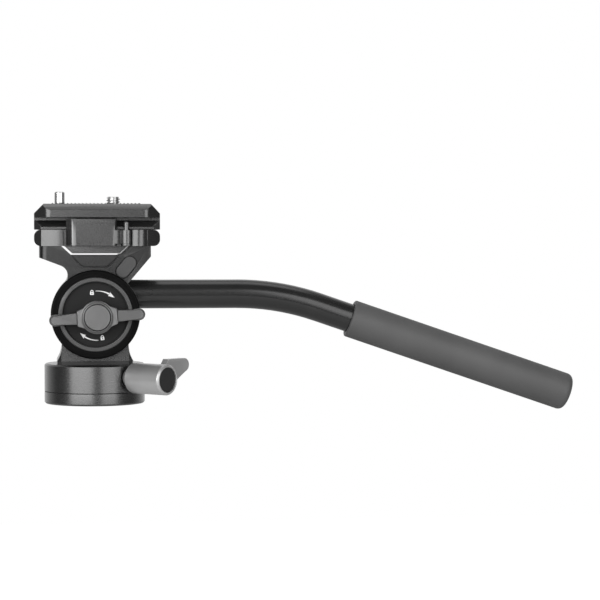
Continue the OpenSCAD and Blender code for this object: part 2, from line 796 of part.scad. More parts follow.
module knob_outline(reach) {
    tip = reach - knob_tip_h / 2;
    circle(hub_r);
    for (s = [0, 1]) mirror([s, 0]) {
        polygon([[0, hub_r - 0.6], [0, 0.6 - hub_r], [saddle_len, -saddle_h], [saddle_len, saddle_h]]);
        polygon([
            [saddle_len - 2, -wing_root_h], [reach * 0.7, -wing_waist_h], [tip, -knob_tip_h / 2],
            [tip, knob_tip_h / 2], [reach * 0.7, wing_waist_h], [saddle_len - 2, wing_root_h]]);
        translate([tip, 0]) circle(d = knob_tip_h);
    }
}

module tilt_knob() {
    wing_foot = bezel_y - face_y + free_gap + 0.6;
    place = [knob_at[0], knob_at[1], knob_y];
    color("#8a8a8d") on_tilt_axis() translate(place) rotate(knob_turn) difference() {
        union() {
            cylinder(r = hub_r, h = knob_h - 1);
            translate([0, 0, knob_h - 1]) cylinder(r1 = hub_r, r2 = hub_r - 1, h = 1);
            translate([0, 0, wing_foot]) linear_extrude(knob_h - wing_foot - 1.8) knob_outline(knob_reach);
            translate([0, 0, wing_foot]) linear_extrude(knob_h - wing_foot - 0.8) intersection() {
                knob_outline(knob_reach);
                square([2 * saddle_len, 3 * hub_r], center = true);
            }
        }
        translate([0, 0, knob_h - 1]) cylinder(r = cap_r + cap_gap, h = 2);
        translate([0, 0, -eps]) cylinder(r = stud_r + seat_fit, h = knob_h - 2.5);
    }
}

module tilt_knob_cap() {
    color("#7a7a7d") on_tilt_axis() translate([knob_at[0], knob_at[1], knob_y + knob_h - 1])
        cylinder(r = cap_r, h = 0.8);
}

module tilt_stud() {
    color("silver") on_tilt_axis() translate([knob_at[0], knob_at[1], cradle_y - tilt_stud_in + 0.5])
        cylinder(r = stud_r, h = knob_y - cradle_y + tilt_stud_in + knob_h - 3.6);
}

// Pan lock

module pan_lock_knob() {
    wing_at = lock_end - wing_inset - wing_t;
    color("#a0a0a3") on_lock_axis() difference() {
        union() {
            translate([0, 0, lock_spot_at + free_gap])
                cylinder(r = lock_hub_r, h = lock_end - lock_spot_at - 4);
            translate([0, 0, lock_root]) cylinder(r1 = lock_r - 1, r2 = lock_r, h = 1);
            translate([0, 0, lock_root + 1]) cylinder(r = lock_r, h = lock_l - 1.8);
            translate([0, 0, lock_end - 0.8]) cylinder(r1 = lock_r, r2 = lock_r - 0.8, h = 0.8);
            translate([0, 0, wing_at]) rotate(90) linear_extrude(wing_t) wing_outline();
        }
        translate([0, 0, lock_end - lock_recess]) cylinder(r = lock_recess_r, h = lock_recess + eps);
        cylinder(r = lock_stud_r + seat_fit, h = lock_root + 8);
    }
}

module pan_lock_cap() {
    color("#3a3a3c") on_lock_axis() translate([0, 0, lock_end - lock_recess])
        cylinder(r = lock_recess_r - seat_fit, h = lock_recess - 0.7);
}

module pan_lock_stud() {
    color("silver") on_lock_axis() translate([0, 0, stud_in])
        cylinder(r = lock_stud_r, h = lock_root + 7.8 - stud_in);
}

// Pan bar

module on_bend_end() {
    translate([bend_end[0], 0, bend_end[1]]) rotate([0, 90 + bend_angle, 0]) children();
}

// Straight, bend and straight of the bar as one solid rod, longer by e at both ends.
// The bend is thicker by a hair, so that the straights end inside it.
module bar_run(r, e) {
    translate([bar_start - e, 0, bar_z]) rotate([0, 90, 0])
        cylinder(r = r, h = bend_start - bar_start + e + eps);
    translate([bend_start, 0, bar_z - bend_r]) rotate([90, 0, 0]) rotate([0, 0, 90 - bend_angle])
        rotate_extrude(angle = bend_angle) translate([bend_r, 0]) circle(r + bend_step);
    on_bend_end() translate([0, 0, -eps])
        cylinder(r = r, h = bend_to_grip + grip_l - grip_wall_end + e + eps);
}

module pan_bar() {
    color("#232324") difference() {
        bar_run(bar_r, 0);
        bar_run(bar_r - bar_wall, eps);
    }
}

module bar_grub_screw() {
    foot = tilt_z + 0.2;
    color("dimgray") translate([grub_x, 0, foot]) difference() {
        cylinder(r = m4_r, h = bar_rise - bar_r - 0.25);
        translate([0, 0, -eps]) cylinder(r = 1, h = 1 + eps, $fn = 6);
    }
}

module grip() {
    inner = bar_r + seat_fit;
    color("#58585a") on_bend_end() translate([0, 0, bend_to_grip]) difference() {
        union() {
            translate([0, 0, 0.5]) cylinder(r = grip_r, h = grip_l - grip_round - 0.5);
            cylinder(r1 = grip_r - 0.5, r2 = grip_r, h = 0.5);
            rotate_extrude() {
                translate([0, grip_l - grip_round]) square([grip_r - grip_round, grip_round]);
                intersection() {
                    translate([grip_r - grip_round, grip_l - grip_round]) circle(grip_round);
                    translate([grip_r - grip_round, grip_l - grip_round]) square(grip_round);
                }
            }
        }
        translate([0, 0, -eps]) cylinder(r = inner, h = grip_l - grip_wall_end + eps + 0.1);
    }
}

// Clamp

// Plan with cut corners
module cut_plan(l, d, cut) {
    x = l / 2;
    y = d / 2;
    polygon([
        [x, cut - y], [x, y - cut], [x - cut, y], [cut - x, y],
        [-x, y - cut], [-x, cut - y], [cut - x, -y], [x - cut, -y]]);
}

// Block of the clamp with its keel and columns, cut back in front for the lever
module clamp_block() {
    half = clamp_l / 2;
    inner = clamp_round;
    difference() {
        union() {
            intersection() {
                translate([clamp_x, 0, z_clamp]) linear_extrude(clamp_h)
                    cut_plan(clamp_l, clamp_depth, corner_cut);
                translate([clamp_x, 0, z_clamp]) through_y(clamp_depth) {
                    translate([-half + inner, 0]) square([clamp_l - 2 * inner, clamp_h]);
                    translate([-half, inner]) square([clamp_l, clamp_h - 2 * inner]);
                    for (s = [-1, 1], z = [inner, clamp_h - inner])
                        translate([s * (half - inner), z]) circle(inner);
                }
            }
            through_y(cradle_depth - 8) polygon([
                [-trough_top_w + keel_side, z_clamp + 1], [-trough_top_w + keel_side, z_clamp],
                [-mouth_side(cradle_rise - keel_h, keel_side), z_clamp - keel_h],
                [mouth_side(cradle_rise - keel_h, keel_side) + mouth_extra, z_clamp - keel_h],
                [trough_top_w + mouth_extra - keel_side, z_clamp],
                [trough_top_w + mouth_extra - keel_side, z_clamp + 1]]);
            intersection() {
                for (c = [left_column, right_column])
                    translate([c[0], c[1] - clamp_y - column_proud, z_clamp]) cylinder(r = c[1], h = clamp_h);
                translate([left_column_end, -clamp_y - column_proud, z_clamp])
                    cube([right_column_end - left_column_end, column_proud + corner_cut, clamp_h]);
            }
        }
        translate([lever_bay[0], front_y - far, z_clamp - eps])
            cube([lever_bay[1] - lever_bay[0], far, clamp_h + 2 * eps]);
    }
}

module clamp_body() {
    color("#4a4a4d") difference() {
        union() {
            clamp_block();
            translate([pivot[0], pivot[1], z_clamp]) cylinder(r = knuckle_r, h = lug_h);
            translate([pivot[0] - knuckle_r, pivot[1], z_clamp])
                cube([2 * knuckle_r, front_y - pivot[1] + 1, lug_h]);
        }
        translate([pivot[0], pivot[1], z_clamp - eps]) cylinder(r = lever_pin_d / 2 + seat_fit, h = far);
        translate([pivot[0], pivot[1], knuckle_z - 0.2]) cylinder(r = knuckle_r + free_gap, h = clamp_h);
        translate([jaw_leg_x - slide_gap, -far, z_deck - jaw_leg_h - slide_gap])
            cube([jaw_leg_l + 2 * slide_gap, far + jaw_leg_back + slide_gap, clamp_h]);
        for (x = [-1, 1], y = [-1, 1]) translate([x * clamp_screw_x, y * clamp_screw_y, z_clamp - eps]) {
            cylinder(r = m4_r + 0.2, h = far);
            translate([0, 0, eps + 2.6]) cylinder(r = m4_head_r + 0.2, h = far);
        }
        translate([clamp_x - rear_jaw_l / 2, rear_jaw_y, z_clamp - eps])
            cube([rear_jaw_l, far, clamp_h + 2 * eps]);
        at_jaw_screws() cylinder(r = m3_r + seat_fit, h = 2 * jaw_screw_l, center = true);
    }
}

module clamp_screws() {
    color("dimgray") for (x = [-1, 1], y = [-1, 1])
        translate([x * clamp_screw_x, y * clamp_screw_y, z_deck - 0.6])
            socket_screw(m4_r, m4_head_r, clamp_h - 3.2, clamp_h - 0.6 + clamp_screw_bite, m4_r * 0.8);
}

// Section of a jaw on the +Y side, in Y and Z: its flank runs along the plate's dovetail
module jaw_section(outer, bottom) {
    foot = dovetail_w + slide_gap;
    lip = z_plate + foot_lip + slide_gap;
    nose = foot - groove_depth;
    top = z_over - 0.5;
    polygon([
        [foot, bottom], [foot, lip], [nose, lip + groove_depth], [nose, top], [outer - 1, top],
        [outer, top - 1], [outer, bottom]]);
}

// Places a child at each screw of the fixed jaw: its +Z points out of the clamp's rear
module at_jaw_screws() {
    for (x = [-1, 1])
        translate([clamp_x + x * jaw_screw_x, clamp_y - 0.2, jaw_screw_z]) rotate([-90, 0, 0]) children();
}

module fixed_jaw() {
    color("#4a4a4d") difference() {
        along_x(clamp_x - rear_jaw_l / 2, rear_jaw_l) jaw_section(clamp_y, z_clamp + 0.4);
        at_jaw_screws() {
            cylinder(r = m3_r + 0.1, h = far, center = true);
            translate([0, 0, -low_head_h]) cylinder(r = low_head_r + 0.1, h = far);
        }
    }
}

module jaw_screws() {
    color("dimgray") at_jaw_screws() socket_screw(m3_r, low_head_r, low_head_h, jaw_screw_l, m3_r * 0.7);
}

module sliding_jaw() {
    lip_y = -dovetail_w - slide_gap;
    color("#5a5a5d") {
        mirror([0, 1, 0]) along_x(jaw_x, jaw_l) jaw_section(-front_y, z_deck + slide_gap);
        translate([jaw_leg_x, front_y, z_deck - jaw_leg_h])
            cube([jaw_leg_l, jaw_leg_back - front_y, jaw_leg_h]);
        translate([jaw_leg_x, front_y, z_deck - 1]) cube([jaw_leg_l, lip_y - front_y, 2]);
    }
}

module lever_pin() {
    color("silver") translate([pivot[0], pivot[1], z_clamp + 0.1])
        cylinder(d = lever_pin_d, h = clamp_h + 3.8);
}

module release_lever() {
    back = front_y - 0.5;
    tip = paddle_start - paddle_bevel[0];
    bevel_a = atan(paddle_bevel[1] / paddle_bevel[0]);
    bevel_t = paddle_edge_r * tan(bevel_a / 2);
    bevel_in = [paddle_start - bevel_t * cos(bevel_a), paddle_front + bevel_t * sin(bevel_a)];
    bevel_out = [paddle_start + bevel_t, paddle_front];
    color("#5c5c5f") difference() {
        union() {
            intersection() {
                translate([0, 0, paddle_z]) linear_extrude(paddle_top - paddle_z) {
                    polygon([
                        [tip, back], [tip, paddle_front + paddle_bevel[1]], bevel_in, bevel_out,
                        [paddle_end - paddle_round, paddle_front], [paddle_end, paddle_front + paddle_round],
                        [paddle_end, back]]);
                    translate([bevel_out[0], paddle_front + paddle_edge_r]) circle(paddle_edge_r);
                    translate([paddle_end - paddle_round, paddle_front + paddle_round]) circle(paddle_round);
                }
                along_x(tip, paddle_end - tip) polygon([
                    [back, paddle_z], [paddle_front, paddle_z],
                    [paddle_front, paddle_top - paddle_top_bevel[1]],
                    [paddle_front + paddle_top_bevel[0], paddle_top], [back, paddle_top]]);
            }
            translate([0, 0, knuckle_z]) linear_extrude(knuckle_top - knuckle_z) {
                translate(pivot) circle(knuckle_r);
                translate([arm_x, back - 1.2]) square([pivot_x - arm_x, 1.2]);
                intersection() {
                    translate([arm_x, paddle_front + arm_r]) circle(arm_r);
                    translate([arm_x, paddle_front]) square([arm_end - arm_x, paddle_t]);
                }
            }
        }
        translate([pivot[0], pivot[1], z_clamp]) cylinder(r = lever_pin_d / 2 + running_fit, h = far);
    }
}

// Quick-release plate

// The cut plan with its long sides rounded into the cut corners
module plate_plan() {
    x = clamp_l / 2 - corner_cut;
    t = plate_round * tan(22.5);
    q = t * sqrt(0.5);
    polygon([
        [x + corner_cut, corner_cut - clamp_y], [x + corner_cut, clamp_y - corner_cut],
        [x + q, clamp_y - q], [x - t, clamp_y], [t - x, clamp_y], [-x - q, clamp_y - q],
        [-x - corner_cut, clamp_y - corner_cut], [-x - corner_cut, corner_cut - clamp_y],
        [-x - q, q - clamp_y], [t - x, -clamp_y], [x - t, -clamp_y], [x + q, q - clamp_y]]);
    for (i = [-1, 1], j = [-1, 1]) translate([i * (x - t), j * (clamp_y - plate_round)]) circle(plate_round);
}

module plate_section() {
    foot = dovetail_w;
    neck = foot - groove_depth;
    y = clamp_y;
    polygon([
        [-foot, z_plate], [foot, z_plate], [foot, z_plate + foot_lip],
        [neck, z_plate + foot_lip + groove_depth],
        [neck, z_over], [y, z_over], [y, z_top - side_chamfer], [y - side_chamfer, z_top],
        [side_chamfer - y, z_top], [-y, z_top - side_chamfer], [-y, z_over], [-neck, z_over],
        [-neck, z_plate + foot_lip + groove_depth], [-foot, z_plate + foot_lip]]);
}

module qr_plate() {
    x = clamp_l / 2;
    color("#48484b") difference() {
        intersection() {
            along_x(clamp_x - x, clamp_l) plate_section();
            translate([clamp_x, 0, z_plate - eps]) linear_extrude(far) plate_plan();
            translate([clamp_x, 0, 0]) through_y(clamp_depth) polygon([
                [-x, z_plate], [x, z_plate], [x, z_top - end_chamfer], [x - end_chamfer, z_top],
                [end_chamfer - x, z_top], [-x, z_top - end_chamfer]]);
        }
        translate([pad_x, -pad_w / 2, z_top - pad_seat]) cube([pad_l, pad_w, far]);
        translate([screw_x, 0, z_plate - eps]) {
            cylinder(r = screw_r + running_fit, h = far);
            cylinder(
                r = screw_head_r + free_gap,
                h = screw_head_z + screw_head_h + running_fit - z_plate + eps);
        }
        translate([-pin_x, 0, z_plate - eps]) {
            cylinder(r = pin_r + running_fit, h = far);
            cylinder(r = pin_bore_r + seat_fit, h = pin_ledge - z_plate + eps);
        }
    }
}

module plate_pad() {
    w = rib_pitch / 2;
    foot = z_top - pad_seat;
    color("#2c2c2d") difference() {
        translate([pad_x, 0, 0]) through_y(pad_w) polygon(concat(
            [[seat_fit, foot], [seat_fit, z_top]],
            [for (i = [0:rib_count - 1], k = [0:2])
                [seat_fit + i * rib_pitch + w * (0.4 + 0.6 * k), z_top + (k == 1 ? rib_h : 0)]],
            [[pad_l - seat_fit, z_top], [pad_l - seat_fit, foot]]));
        translate([screw_x, 0, foot - eps]) cylinder(r = screw_r + 1, h = far);
        translate([-pin_x, 0, foot - eps]) cylinder(r = pin_r + 0.5, h = far);
    }
}

module camera_screw() {
    tip = 0.6;
    color("gainsboro") translate([screw_x, 0, 0]) difference() {
        union() {
            translate([0, 0, screw_head_z]) cylinder(r = screw_head_r, h = screw_head_h);
            translate([0, 0, screw_head_z]) cylinder(r = screw_neck_r, h = z_top + 1 - screw_head_z);
            translate([0, 0, z_ribs]) cylinder(r = screw_r, h = z_top + screw_h - tip - z_ribs);
            translate([0, 0, z_top + screw_h - tip]) cylinder(r1 = screw_r, r2 = screw_r - tip, h = tip);
        }
        translate([0, 0, screw_head_z]) cube([3 * screw_head_r, coin_slot_w, 2], center = true);
    }
}

module video_pin() {
    foot = pin_ledge - 0.1 - pin_shoulder_h;
    top = z_top + pin_h;
    tip = 0.5;
    color("gainsboro") translate([-pin_x, 0, 0]) {
        translate([0, 0, foot]) cylinder(r = pin_bore_r - running_fit, h = pin_shoulder_h);
        translate([0, 0, foot]) cylinder(r = pin_neck_r, h = z_ribs - foot + eps);
        translate([0, 0, z_ribs]) cylinder(r = pin_r, h = top - tip - z_ribs);
        translate([0, 0, top - tip]) cylinder(r1 = pin_r, r2 = pin_r - tip, h = tip);
    }
}

// One closed tube of six sides along a helix
module pin_spring() {
    sides = 6;
    rings = spring_turns * 10;
    points = [for (i = [0:rings], k = [0:sides - 1]) let (
        t = i / rings,
        a = 360 * spring_turns * t,
        r = spring_r - 0.05 + spring_wire_r * cos(360 * k / sides),
        z = spring_z0 + (spring_z1 - spring_z0) * t + spring_wire_r * sin(360 * k / sides))
        [r * cos(a), r * sin(a), z]];
    walls = [for (i = [0:rings - 1], k = [0:sides - 1], h = [0, 1]) let (
        p = i * sides + k,
        q = i * sides + (k + 1) % sides)
        h == 0 ? [p, p + sides, q] : [q, p + sides, q + sides]];
    start_cap = [for (k = [1:sides - 2]) [0, k, k + 1]];
    end_cap = [for (k = [1:sides - 2]) [rings * sides, rings * sides + k + 1, rings * sides + k]];
    color("silver") translate([-pin_x, 0, 0]) polyhedron(points, concat(walls, start_cap, end_cap));
}

module pin_plug() {
    color("dimgray") translate([-pin_x, 0, z_plate + 0.2]) difference() {
        cylinder(r = pin_bore_r, h = pin_plug_h);
        translate([0, 0, -eps]) cylinder(r = pin_r - 1, h = pin_plug_h + 2 * eps);
    }
}

base_plate();
tripod_bush();
pan_spindle();
spindle_screws();
pan_washer();
pan_nut();
pan_drum();
pan_brake_shoe();
pedestal_spacer();
pedestal();
pedestal_screws();
tilt_bushings();
tilt_damper();
cradle();
trough_block();
arm_plug();
tilt_shaft();
tilt_washers();
dial_ring();
dial_bezel();
dial_face();
far_cap();
tilt_knob();
tilt_knob_cap();
tilt_stud();
pan_lock_knob();
pan_lock_cap();
pan_lock_stud();
pan_bar();
bar_grub_screw();
grip();
clamp_body();
clamp_screws();
fixed_jaw();
jaw_screws();
lever_pin();
release_lever();
sliding_jaw();
qr_plate();
plate_pad();
camera_screw();
video_pin();
pin_spring();
pin_plug();
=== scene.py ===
import json
import math

import bmesh
import bpy
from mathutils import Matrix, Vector

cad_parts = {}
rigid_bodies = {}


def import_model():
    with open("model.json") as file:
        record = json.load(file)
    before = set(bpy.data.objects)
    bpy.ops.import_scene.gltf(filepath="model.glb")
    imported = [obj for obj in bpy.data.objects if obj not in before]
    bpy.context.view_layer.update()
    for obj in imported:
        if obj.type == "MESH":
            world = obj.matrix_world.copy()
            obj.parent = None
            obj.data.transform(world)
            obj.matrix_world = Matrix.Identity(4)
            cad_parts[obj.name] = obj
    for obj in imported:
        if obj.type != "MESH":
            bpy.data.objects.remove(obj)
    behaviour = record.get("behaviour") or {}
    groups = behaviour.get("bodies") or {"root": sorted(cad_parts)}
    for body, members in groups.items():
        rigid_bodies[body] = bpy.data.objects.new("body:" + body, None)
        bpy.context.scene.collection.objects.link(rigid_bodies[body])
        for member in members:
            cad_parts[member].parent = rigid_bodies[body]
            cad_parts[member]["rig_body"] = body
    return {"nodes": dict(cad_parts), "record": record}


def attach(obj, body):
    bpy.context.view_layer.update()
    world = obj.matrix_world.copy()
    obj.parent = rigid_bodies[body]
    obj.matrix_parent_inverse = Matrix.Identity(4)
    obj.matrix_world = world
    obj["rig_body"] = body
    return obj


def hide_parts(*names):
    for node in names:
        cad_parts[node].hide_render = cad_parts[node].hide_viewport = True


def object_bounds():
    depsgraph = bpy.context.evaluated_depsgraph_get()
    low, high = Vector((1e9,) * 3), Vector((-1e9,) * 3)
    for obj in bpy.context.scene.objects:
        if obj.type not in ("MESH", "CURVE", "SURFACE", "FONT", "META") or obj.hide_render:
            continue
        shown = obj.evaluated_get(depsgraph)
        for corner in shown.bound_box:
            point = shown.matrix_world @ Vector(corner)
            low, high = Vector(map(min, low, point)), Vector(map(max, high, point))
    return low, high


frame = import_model()
CAD_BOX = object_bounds()

MM = 0.001


def extent(node):
    """Lowest and highest corner of a node's box, in millimetres."""
    points = [v.co for v in frame["nodes"][node].data.vertices]
    return [[round(pick(p[i] for p in points) / MM, 4) for i in range(3)] for pick in (min, max)]


# Places and sizes from the frame, in millimetres, that the finer pieces are built to
MOUNTS = {mount["name"]: mount for mount in frame["record"]["mounts"]}
DIAL_LOW, DIAL_HIGH = extent("dial_face")
TILT_Z = round((DIAL_LOW[2] + DIAL_HIGH[2]) / 2, 3)
DIAL_FACE_Y = DIAL_LOW[1]
SCREW_LOW, SCREW_HIGH = extent("camera_screw")
SCREW_X = round((SCREW_LOW[0] + SCREW_HIGH[0]) / 2, 3)
SCREW_R = MOUNTS["camera_screw"]["dims"]["r_mm"]
SCREW_TOP = SCREW_HIGH[2]
SCREW_HEAD_Z = SCREW_LOW[2]
SCREW_HEAD_R = SCREW_HIGH[1]
PLATE_TOP = extent("qr_plate")[1][2]
TRIPOD_R = MOUNTS["tripod_thread"]["dims"]["r_mm"]
TRIPOD_DEPTH = MOUNTS["tripod_thread"]["dims"]["length_mm"]
BUSH_FLANGE_R, _, BUSH_H = extent("tripod_bush")[1]
BUSH_FLANGE_TOP = extent("base_plate")[1][2]

# Sizes that the frame doesn't give, in millimetres
SCREW_HEAD_H = 2.2
BUSH_WALL = 1.45
BUSH_FLANGE_H = 1.5

# The floor, in metres: how far it lies below the head, and half its width
FLOOR_DROP = 0.18
FLOOR_HALF = 0.9
# How strongly metal mirrors the floor's white; the photograph's undersides are dim
FLOOR_MIRRORED = 0.3
# Brightness of the floor's white under the head and far from it, and the distances of both in metres
FLOOR_WHITE = (0.74, 1.0)
FLOOR_FADE = (0.2, 0.8)
FLOOR_GREY = 0.5
# Grey of the room in front of the head, and the Y of a direction at which the white backdrop starts and is full
ROOM_GREY = 0.13
BACKDROP_EDGE = (0.2, 0.8)


# Materials

def sockets(tree, kind, **values):
    """A node of that kind with the given inputs set."""
    n = tree.nodes.new(kind)
    for key, value in values.items():
        n.inputs[key].default_value = value
    return n


def noise(tree, coord, scale, detail=3.0, stretch=None):
    """The factor of a noise texture in object space; stretch scales its axes."""
    if stretch is not None:
        m = sockets(tree, "ShaderNodeMapping", Scale=stretch)
        tree.links.new(coord, m.inputs["Vector"])
        coord = m.outputs["Vector"]
    n = sockets(tree, "ShaderNodeTexNoise", Scale=scale, Detail=detail)
    tree.links.new(coord, n.inputs["Vector"])
    return n.outputs["Fac"]


def spread(tree, fac, low, high, start=0.3, end=0.7):
    """A factor mapped from start..end to low..high."""
    n = sockets(
        tree, "ShaderNodeMapRange",
        **{"From Min": start, "From Max": end, "To Min": low, "To Max": high})
    tree.links.new(fac, n.inputs["Value"])
    return n.outputs["Result"]


def tones(tree, fac, dark, light):
    """A colour between two greys."""
    n = tree.nodes.new("ShaderNodeMix")
    n.data_type = "RGBA"
    n.inputs["A"].default_value = (*dark, 1)
    n.inputs["B"].default_value = (*light, 1)
    tree.links.new(fac, n.inputs["Factor"])
    return n.outputs["Result"]


# Size of the patches of tone, how far they and the roughness vary, and the height of the grain in metres
PATCH_SCALE = 45
PATCH_TONES = (0.9, 1.1)
ROUGH_VARY = 0.05
GRAIN_HEIGHT = 0.00006
# Pointiness from which an edge is worn and at which it is worn most, and how much lighter it is then
WORN_EDGE = (0.52, 0.62)
WORN_GAIN = 2.6
WORN_LIFT = 0.04


def surface(name, tone, rough, metallic, grain, bump, wear=0.0, stretch=None, tint=(1, 1, 1), gloss=0.5):
    """A finish with patches of tone, a fine grain in roughness and bump, and edges worn lighter."""
    mat = bpy.data.materials.new(name)
    mat.use_nodes = True
    t = mat.node_tree
    bsdf = t.nodes["Principled BSDF"]
    bsdf.inputs["Metallic"].default_value = metallic
    bsdf.inputs["Specular IOR Level"].default_value = gloss
    coord = t.nodes.new("ShaderNodeTexCoord").outputs["Object"]
    large = noise(t, coord, PATCH_SCALE, 4.0)
    fine = noise(t, coord, grain, 2.0, stretch)
    dark, light = ([tone * share * c for c in tint] for share in PATCH_TONES)
    colour = tones(t, spread(t, large, 0, 1), dark, light)
    if wear > 0:
        geo = t.nodes.new("ShaderNodeNewGeometry")
        edge = spread(t, geo.outputs["Pointiness"], 0, wear, *WORN_EDGE)
        mix = t.nodes.new("ShaderNodeMix")
        mix.data_type = "RGBA"
        t.links.new(edge, mix.inputs["Factor"])
        t.links.new(colour, mix.inputs["A"])
        mix.inputs["B"].default_value = (*[min(1, tone * WORN_GAIN * c + WORN_LIFT) for c in tint], 1)
        colour = mix.outputs["Result"]
    t.links.new(colour, bsdf.inputs["Base Color"])
    t.links.new(spread(t, fine, rough - ROUGH_VARY, rough + ROUGH_VARY), bsdf.inputs["Roughness"])
    b = sockets(t, "ShaderNodeBump", Strength=bump, Distance=GRAIN_HEIGHT)
    t.links.new(fine, b.inputs["Height"])
    t.links.new(b.outputs["Normal"], bsdf.inputs["Normal"])
    return mat


# Stretch of the grain round the upright axis, as turning leaves it
RINGS = (1, 1, 60)
MATS = {
    "dark_anodised": surface("dark_anodised", 0.128, 0.28, 1.0, 420, 0.014, 0.4, RINGS),
    "satin_grey": surface("satin_grey", 0.098, 0.28, 0.95, 5200, 0.10, 0.4),
    "black_anodised": surface("black_anodised", 0.003, 0.32, 0.0, 4200, 0.06, 0.2, gloss=0.06),
    "cradle_grey": surface("cradle_grey", 0.047, 0.30, 0.95, 5200, 0.10, 0.4),
    "bezel_grey": surface("bezel_grey", 0.082, 0.42, 0.7, 3800, 0.08, 0.3),
    "knob_grey": surface("knob_grey", 0.138, 0.36, 0.8, 5200, 0.14, 0.4),
    "lock_grey": surface("lock_grey", 0.55, 0.40, 0.78, 5200, 0.10, 0.5),
    "steel": surface("steel", 0.62, 0.22, 1.0, 900, 0.05, 0.2, RINGS),
    "black_screw": surface("black_screw", 0.05, 0.4, 0.7, 3000, 0.10, 0.5),
    "dial_print": surface("dial_print", 0.010, 0.45, 0.0, 3000, 0.06, gloss=0.2),
    "black_plastic": surface("black_plastic", 0.018, 0.5, 0.0, 2600, 0.15, 0.2, gloss=0.35),
    "bearing_plastic": surface("bearing_plastic", 0.8, 0.45, 0.0, 1500, 0.05),
    "bronze": surface("bronze", 0.5, 0.4, 1.0, 2500, 0.10, 0.3, tint=(1.0, 0.7, 0.35)),
    "pad_rubber": surface("pad_rubber", 0.03, 0.62, 0.0, 2400, 0.25, 0.3),
    "plug_rubber": surface("plug_rubber", 0.05, 0.6, 0.0, 3500, 0.15, 0.2),
    "grip_foam": surface("grip_foam", 0.09, 0.58, 0.0, 1900, 0.45, gloss=0.5),
    "peg_grey": surface("peg_grey", 0.13, 0.36, 0.9, 2600, 0.08, 0.3),
    "tube_black": surface("tube_black", 0.012, 0.22, 0.0, 4200, 0.04, 0.2, gloss=0.6),
    "white_print": surface("white_print", 0.85, 0.5, 0.0, 3500, 0.05),
}


# Pieces

SLOT = {sub["node"]: sub["material_slot"] for sub in frame["record"]["subparts"]}
# Nodes whose finish differs a little from that of their slot
FINISH = {
    "pan_bar": "tube_black", "lever_pin": "peg_grey", "cradle": "cradle_grey", "trough_block": "cradle_grey",
    "far_cap": "black_plastic"}


def add(mesh, name, body, slot, mat=None):
    """A new piece that rides on a body and takes the slot's finish."""
    o = bpy.data.objects.new(name, mesh)
    bpy.context.collection.objects.link(o)
    mesh.materials.clear()
    mesh.materials.append(MATS[mat or slot])
    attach(o, body)
    return o


# Angles in degrees: between faces that count as one, and from which an edge counts as hard
FLAT_ANGLE = 0.6
HARD_ANGLE = 34
# Pieces with crisp chamfers, the distance from the middle, in millimetres, beyond which these are full, and the
# share of their width nearer to it
CRISP = ("tilt_knob",)
FULL_FROM = 12.0
NARROW_SHARE = 0.3


def mark_chamfers(bm):
    """Each hard edge stays sharp and gets its share of the chamfer's width."""
    share = bm.edges.layers.float.new("bevel_weight_edge")
    for e in bm.edges:
        if e.calc_face_angle(0) > math.radians(HARD_ANGLE):
            outside = min(abs(v.co.x) for v in e.verts) > FULL_FROM * MM
            e[share] = 1.0 if outside else NARROW_SHARE
            e.smooth = False


def soften(node, width):
    """The node's own shape with its hard edges rounded or cut as crisp chamfers, as machining leaves them."""
    crisp = node in CRISP
    mesh = frame["nodes"][node].data.copy()
    bm = bmesh.new()
    bm.from_mesh(mesh)
    bmesh.ops.remove_doubles(bm, verts=bm.verts, dist=0.001 * MM)
    bmesh.ops.dissolve_limit(
        bm, angle_limit=math.radians(FLAT_ANGLE), use_dissolve_boundaries=False, verts=bm.verts,
        edges=bm.edges)
    for f in bm.faces:
        f.smooth = True
    if crisp:
        mark_chamfers(bm)
    bm.to_mesh(mesh)
    bm.free()
    o = add(mesh, node + "_body", frame["nodes"][node]["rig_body"], SLOT[node], FINISH.get(node))
    bevel = o.modifiers.new("edges", "BEVEL")
    bevel.width = width * MM
    bevel.segments = 1 if crisp else 2
    bevel.mark_sharp = crisp
    bevel.limit_method = "WEIGHT" if crisp else "ANGLE"
    bevel.angle_limit = math.radians(HARD_ANGLE)
    bevel.use_clamp_overlap = not crisp
    o.modifiers.new("normals", "WEIGHTED_NORMAL").keep_sharp = True
    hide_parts(node)
    return o


def grid_mesh(name, rows):
    """A mesh from rows of points; each row is closed on itself."""
    n = len(rows[0])
    faces = []
    for i in range(len(rows) - 1):
        for k in range(n):
            j = (k + 1) % n
            faces.append((i * n + k, i * n + j, (i + 1) * n + j, (i + 1) * n + k))
    mesh = bpy.data.meshes.new(name)
    mesh.from_pydata([Vector(p) * MM for row in rows for p in row], [], faces)
    mesh.shade_smooth()
    return mesh


def dress():
    """Each CAD node that stays gets its slot's finish."""
    for node, slot in SLOT.items():
        o = frame["nodes"][node]
        mat = MATS[FINISH.get(node, slot)]
        if o.data.materials:
            o.data.materials[0] = mat
        else:
            o.data.materials.append(mat)


dress()
# Width of the broken edges, in millimetres
for node, width in (
        ("base_plate", 0.25), ("pan_drum", 0.3), ("pedestal", 0.4), ("cradle", 0.5), ("trough_block", 0.3),
        ("arm_plug", 0.35), ("dial_ring", 0.3), ("dial_bezel", 0.2), ("far_cap", 0.4), ("clamp_body", 0.35),
        ("fixed_jaw", 0.3), ("tilt_knob", 0.8), ("tilt_knob_cap", 0.25), ("pan_lock_knob", 0.6),
        ("pan_lock_cap", 0.15), ("release_lever", 0.5), ("lever_pin", 0.7), ("sliding_jaw", 0.25),
        ("qr_plate", 0.4), ("video_pin", 0.25), ("grip", 0.5)):
    piece = soften(node, width)


# Printed signs of the dial: two padlocks and two arrows, as thin raised shapes

